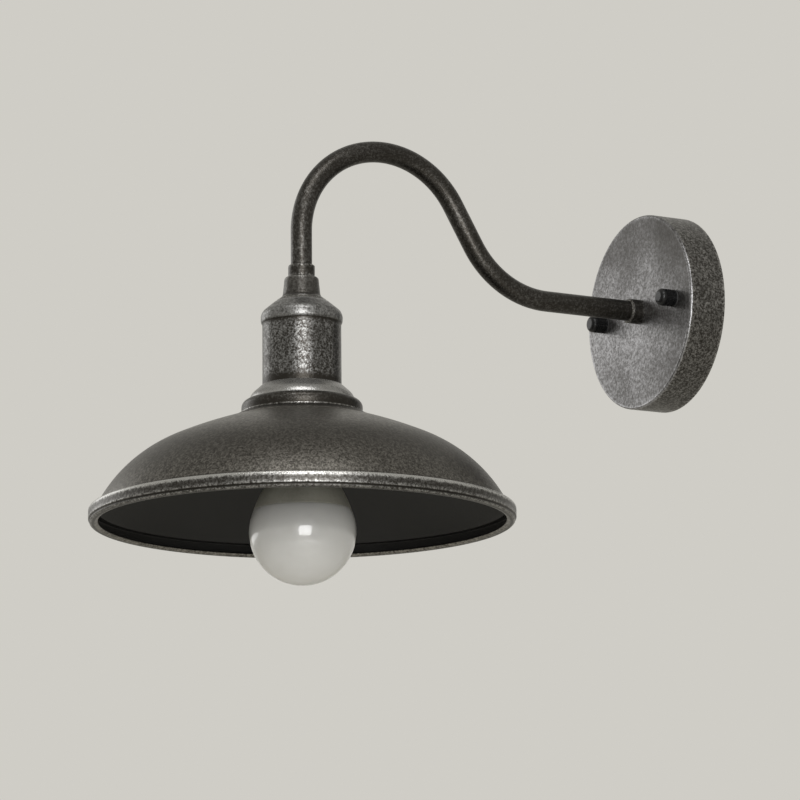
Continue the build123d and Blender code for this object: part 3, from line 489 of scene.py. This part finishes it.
canopy_ring, canopy_lining = sheet(outline(
    (NIPPLE_HOLE, CANOPY_DEPTH), (CANOPY_RADIUS, CANOPY_DEPTH, CANOPY_EDGE), (CANOPY_RADIUS, 0.0),
), CANOPY_SHEET, 0.8)
lathe(
    "canopy_shell", canopy_ring, "fixture", [ANTIQUE_FACE, INSIDE, ANTIQUE_SIDE], ["canopy"],
    lining=canopy_lining, trim=on_side, count=240, place=wall_place,
)
lathe(
    "arm_wall_collar", smooth(outline(
        (COLLAR_HOLE, CANOPY_DEPTH), (WALL_COLLAR_RADIUS, CANOPY_DEPTH, 0.2),
        (WALL_COLLAR_RADIUS, WALL_COLLAR_END - 1, 0.15), (6.5, WALL_COLLAR_END, 0.15), (COLLAR_HOLE, WALL_COLLAR_END),
    ), 0.3), "fixture", [ANTIQUE_ARM], ["wall_collar"], count=96, place=wall_place,
)

# ---------------------------------------------------------------- arm

def arm_line():
    """Centre line of the tube as (y, z, direction), from the canopy's face to the neck."""
    flat, low, riser, top, leg = 8, 30, 6, 60, 10  # steps on each stretch
    c, s = math.cos(RISE), math.sin(RISE)
    top_y, top_z = TOP_RADIUS * (1 + s) - REACH, BEND_Z + TOP_RADIUS * c
    low_z = LOW_RADIUS * (1 - c)
    low_y = top_y + (top_z - low_z) / math.tan(RISE)
    start_y = low_y + LOW_RADIUS * s
    line = [(-CANOPY_DEPTH + (start_y + CANOPY_DEPTH) * i / flat, 0.0, math.pi) for i in range(flat)]
    for i in range(low):
        a = RISE * i / low
        line.append((start_y - LOW_RADIUS * math.sin(a), LOW_RADIUS * (1 - math.cos(a)), math.pi - a))
    for i in range(riser):
        k = i / riser
        line.append((low_y + (top_y - low_y) * k, low_z + (top_z - low_z) * k, math.pi - RISE))
    centre_y = TOP_RADIUS - REACH
    for i in range(top + 1):
        a = math.pi - RISE + (RISE + math.pi / 2) * i / top
        line.append((centre_y + TOP_RADIUS * math.sin(a), BEND_Z - TOP_RADIUS * math.cos(a), a))
    line += [(-REACH, BEND_Z + (NECK_TOP - BEND_Z) * i / leg, 1.5 * math.pi) for i in range(1, leg + 1)]
    return line


def sweep(name, line, outer, bore, body, mats, stands_for, wear_and_highlight_at, count=56):
    """A tube with square ends along a line in the plane X = 0. Its wear and painted highlight go by the share of the
    way along it.
    """
    points, wear_and_painted_light, faces = [], [], []
    n = len(line)
    for radius in (outer, bore):
        for i, (y, z, a) in enumerate(line):
            for k in range(count):
                t = 2 * math.pi * k / count
                side, up = radius * math.cos(t), radius * math.sin(t)
                points.append((side, y + up * math.sin(a), z - up * math.cos(a)))
            wear_and_painted_light += [wear_and_highlight_at(i / (n - 1))] * count

    def join(a, b, flip):
        """Faces between the two circles of points that begin at a and b."""
        for k in range(count):
            face = (a + k, a + (k + 1) % count, b + (k + 1) % count, b + k)
            faces.append(face[::-1] if flip else face)

    inside = n * count
    for i in range(n - 1):
        join(i * count, (i + 1) * count, False)
    for i in range(n - 1):
        join(inside + i * count, inside + (i + 1) * count, True)
    join(0, inside, True)
    join((n - 1) * count, inside + (n - 1) * count, False)
    return build(name, points, faces, body, mats, None, wear_and_painted_light, stands_for)


def arm_wear_and_highlight(way):
    """More silver on the top bend and down the hanging leg, partly rubbed finish and partly a painted highlight where
    they catch the light; the low bend stays nearly black.
    """
    top = bump_at(way, 0.72, 0.16)
    leg = 1 / (1 + math.exp(-(way - 0.86) / 0.03))
    return -0.05 + 0.15 * top + 0.35 * leg


sweep(
    "arm_tube", arm_line(), TUBE_RADIUS, TUBE_BORE, "fixture", [ANTIQUE_ARM],
    ["gooseneck_arm"], arm_wear_and_highlight,
)

# ---------------------------------------------------------------- neck, cup and fitter

def step_wear(rad, h):
    """The step ring is rubbed bright only along its edge."""
    return 2.0 * bump_at(rad, 14.6, 0.35) - 0.5


def on_shoulder(rad, h):
    return rad > CROWN_RADIUS and h > CREASE + 0.6


def cup_wear_and_shade(rad, h):
    """Silver rubbed bright on the shoulder's brim; painted shade in the crease under the bead and in a band above the
    fitter.
    """
    if rad < CROWN_RADIUS:
        return 0.0
    # the crease and foot terms are painted shade
    return 2.5 * bump_at(rad, 16.3, 0.5) - bump_at(h, CREASE, 1.0) - 2.2 * bump_at(h, CUP_BOTTOM, 3.0)


lathe(
    "arm_cup_collar", smooth(outline(
        (COLLAR_HOLE, NECK_TOP), (CUP_COLLAR_RADIUS, NECK_TOP, 0.3), (CUP_COLLAR_RADIUS, CUP_COLLAR_TOP, 1.3),
        (COLLAR_HOLE, CUP_COLLAR_TOP, 0.15),
    ), 0.3), "fixture", [ANTIQUE_ARM], ["cup_collar"], count=96,
)
lathe(
    "cup_neck_turned", smooth(outline(
        (NIPPLE_HOLE, NECK_TOP), (NECK_RADIUS, NECK_TOP, 1.6), (10.9, STEP_TOP + 3.4, 0.5),
        ("arc", NECK_FOOT_RADIUS, STEP_TOP + 0.3), (NECK_FOOT_RADIUS, STEP_TOP), (NIPPLE_HOLE, STEP_TOP),
    ), 0.35), "fixture", [DULL], ["cup_neck"],
)
lathe(
    "cup_step_ring", smooth(outline(
        (NIPPLE_HOLE, STEP_TOP), (13.4, STEP_TOP, 0.25), (13.8, STEP_TOP - 0.7, 0.15), (14.5, STEP_TOP - 0.75, 0.2),
        (15.6, CUP_TOP, 0.2), (NIPPLE_HOLE, CUP_TOP),
    ), 0.3), "fixture", [DULL], ["step_ring"], extra=step_wear,
)
cup_ring, cup_lining = sheet(outline(
    (NIPPLE_HOLE, CUP_TOP), (BRIM_RADIUS, CUP_TOP, 0.5), (21.76, CUP_TOP - 4.66),
    ("arc", BEAD_RADIUS, CUP_TOP - 9.26), (BEAD_RADIUS, CREASE + 2.6),
    ("arc", CUP_RADIUS, CREASE, 0, -1), (CUP_RADIUS, CUP_BOTTOM), step=0.5,
), 1.0, 0.5)
lathe(
    "socket_cup_shell", cup_ring, "fixture", [ANTIQUE_CUP, INSIDE, SHOULDER], ["socket_cup"],
    lining=cup_lining, trim=on_shoulder, extra=cup_wear_and_shade, count=192,
)
lathe(
    "fitter_cove", smooth(outline(
        (HOLDER_HOLE, CUP_BOTTOM), (23.6, CUP_BOTTOM, 0.3), (28.0, CUP_BOTTOM - 3.9),
        ("arc", FITTER_RADIUS, FITTER_BOTTOM), (HOLDER_HOLE, FITTER_BOTTOM), step=0.4,
    ), 0.4), "fixture", [SILVERED], ["fitter_ring"], count=192,
)

# ---------------------------------------------------------------- shade and its collar

LIP_RADIUS = 121.0  # the lip is turned in from here
# out to this radius the crown's step is painted shade under the collar
DARK_STEP_RADIUS = 41.6
CROWN_PAINTED_LIGHT_BANDS = ((0.9, 44, 3), (0.3, 50, 14), (-0.65, 100, 14))  # painted light and shade on the dome: a light ring where it starts, lighter near the top, darker across its middle; each is a change of silver, about a radius, over a width


def collar_wear(rad, h):
    """A thin silver line round the collar's foot."""
    return 0.4 if rad > 35.5 and h > SHADE_TOP + 0.1 else -0.35


def on_band(rad, h):
    return rad > BROW_RADIUS + 0.6


def lampshade_wear_and_painted_light(rad, h):
    """The band's top edge is rubbed bright and its face less. The rest is painted light and shade: under the
    turned-in lip, on the crown's step under the collar, and in rings across the dome.
    """
    if on_band(rad, h):
        # painted shade under the turned-in lip, deepest on its inner part
        lip = -0.3 if rad > LIP_RADIUS else -2.0
        return 1.9 * bump_at(h, BROW - 0.6, 1.2) + (lip if h < BAND_BOTTOM + 0.2 else 0.0)
    # painted shade on the crown's step under the collar
    step = -1.5 if rad < DARK_STEP_RADIUS else 0.0
    # painted light and shade in rings across the dome
    return sum((change * bump_at(rad, middle, width) for change, middle, width in CROWN_PAINTED_LIGHT_BANDS), step)


lathe(
    "shade_top_collar", smooth(outline(
        (HOLDER_HOLE, FITTER_BOTTOM), (30.9, FITTER_BOTTOM), ("arc", COLLAR_RADIUS, FITTER_BOTTOM - 4.3),
        (COLLAR_RADIUS, SHADE_TOP + 1.0, 0.15), (COLLAR_FOOT_RADIUS, SHADE_TOP + 0.9, 0.3),
        (COLLAR_FOOT_RADIUS, SHADE_TOP, 0.2), (HOLDER_HOLE, SHADE_TOP), step=0.4,
    ), 0.4), "fixture", [ANTIQUE_ARM], ["shade_collar"], extra=collar_wear, count=192,
)
shade_profile, shade_lining = sheet(outline(
    (HOLDER_HOLE, SHADE_TOP), (36.0, SHADE_TOP), (41.0, SHADE_TOP - 2.4, 0.3), (41.8, SHADE_TOP - 3.2, 0.3),
    ("arc", FLANK_RADIUS, FLANK, math.cos(SHADE_SLOPE), -math.sin(SHADE_SLOPE)), ("arc", BROW_RADIUS, BROW),
    (RIM_RADIUS, BROW, 1.6), (RIM_RADIUS, BAND_BOTTOM + 0.9, 0.3), (122.2, BAND_BOTTOM + 0.3, 0.3),
    (122.6, BAND_BOTTOM - 0.5, 0.3), ("arc", 117.5, BAND_BOTTOM, -1.0, -1.35), step=1.0,
), 1.0, 1.0)
lathe(
    "shade_spun", shade_profile, "fixture", [ANTIQUE, INSIDE, ANTIQUE_RIM], ["shade"],
    lining=shade_lining, trim=on_band, extra=lampshade_wear_and_painted_light, count=256,
)

# ---------------------------------------------------------------- bulb

globe_end = math.pi - math.acos((SEAM_Z - GLOBE_Z) / GLOBE_RADIUS)
globe_angles = [globe_end * k / 90 for k in range(91)]
globe_line = [(GLOBE_RADIUS * math.sin(a), GLOBE_Z - GLOBE_RADIUS * math.cos(a)) for a in globe_angles]
globe_ring, _ = sheet((globe_line, {}), -1.2, 1.2, 0.3)  # below 0, as its lining is to the left
lathe("bulb_globe", globe_ring, "bulb", [OPAL], ["bulb_diffuser"])
housing_ring, _ = sheet(outline(
    (11.7, CAP_Z), (13.1, CAP_Z, 0.2), (13.1, CAP_Z - 3), ("arc", 20.7, SEAM_Z + 16), ("arc", SEAM_RADIUS, SEAM_Z),
    step=0.8,
), 1.5, 0.8)
lathe("bulb_body", housing_ring, "bulb", [HOUSING], ["bulb_housing"])

# ---------------------------------------------------------------- camera, lights and surroundings

EYE, YAW, PITCH, ROLL = (1829.79, -1167.28, -502.75), 61.909, 11.786, -0.578  # as fitted to the photograph
LENS, SENSOR, FAR_CLIP = 162, 36, 60  # the last in metres
MIDDLE = (0, -200, -60)
LAMPS = (  # name, place, target, width, height, watts
    ("key", (2020, -1050, -60), MIDDLE, 1000, 1400, 40),
    ("window", (-1900, -1210, 400), MIDDLE, 1300, 1300, 8),
    ("high", (1110, -795, 1490), (0, -REACH, -90), 1200, 600, 14),
)
FLOOR_HALF, FLOOR_Z = 8000, -1100
FLOOR_COLOR, BACKDROP = (0.62, 0.607, 0.57), (0.625, 0.610, 0.566)


def point_at(thing, place, target):
    thing.location = Vector(place) * MM
    thing.rotation_mode = "QUATERNION"
    thing.rotation_quaternion = (Vector(target) - Vector(place)).to_track_quat("-Z", "Y")


def soft_light(name, place, target, width, height, power):
    """A rectangular lamp that the camera doesn't see."""
    data = bpy.data.lights.new(name, "AREA")
    data.shape = "RECTANGLE"
    data.size, data.size_y, data.energy = width * MM, height * MM, power
    lamp = bpy.data.objects.new(name, data)
    bpy.context.scene.collection.objects.link(lamp)
    point_at(lamp, place, target)
    lamp.visible_camera = False


camera = bpy.data.objects.new("camera", bpy.data.cameras.new("camera"))
bpy.context.scene.collection.objects.link(camera)
bpy.context.scene.camera = camera
camera.data.lens, camera.data.sensor_width, camera.data.clip_end = LENS, SENSOR, FAR_CLIP
yaw, pitch, roll = (math.radians(v) for v in (YAW, PITCH, ROLL))
ahead = Vector((-math.sin(yaw) * math.cos(pitch), math.cos(yaw) * math.cos(pitch), math.sin(pitch)))
right = ahead.cross(Vector((0, 0, 1))).normalized()
over = right.cross(ahead)
right, over = right * math.cos(roll) + over * math.sin(roll), over * math.cos(roll) - right * math.sin(roll)
eye = Vector(EYE) * MM
camera.matrix_world = Matrix((
    (right.x, over.x, -ahead.x, eye.x), (right.y, over.y, -ahead.y, eye.y), (right.z, over.z, -ahead.z, eye.z),
    (0, 0, 0, 1),
))

for lamp_row in LAMPS:
    soft_light(*lamp_row)

floor_mesh = bpy.data.meshes.new("floor")
floor_corners = [
    (x * FLOOR_HALF * MM, y * FLOOR_HALF * MM, FLOOR_Z * MM) for x, y in ((-1, -1), (1, -1), (1, 1), (-1, 1))
]
floor_mesh.from_pydata(floor_corners, [], [(0, 1, 2, 3)])
floor = bpy.data.objects.new("floor", floor_mesh)
bpy.context.scene.collection.objects.link(floor)
ground = Surface("pale_floor")
ground.set(Base_Color=FLOOR_COLOR, Roughness=0.8)
floor_mesh.materials.append(ground.material)

world = bpy.data.worlds.new("pale_room")
bpy.context.scene.world = world
world.use_nodes = True
world.node_tree.nodes["Background"].inputs["Color"].default_value = (*BACKDROP, 1)
bpy.context.scene.view_settings.view_transform = "Standard"
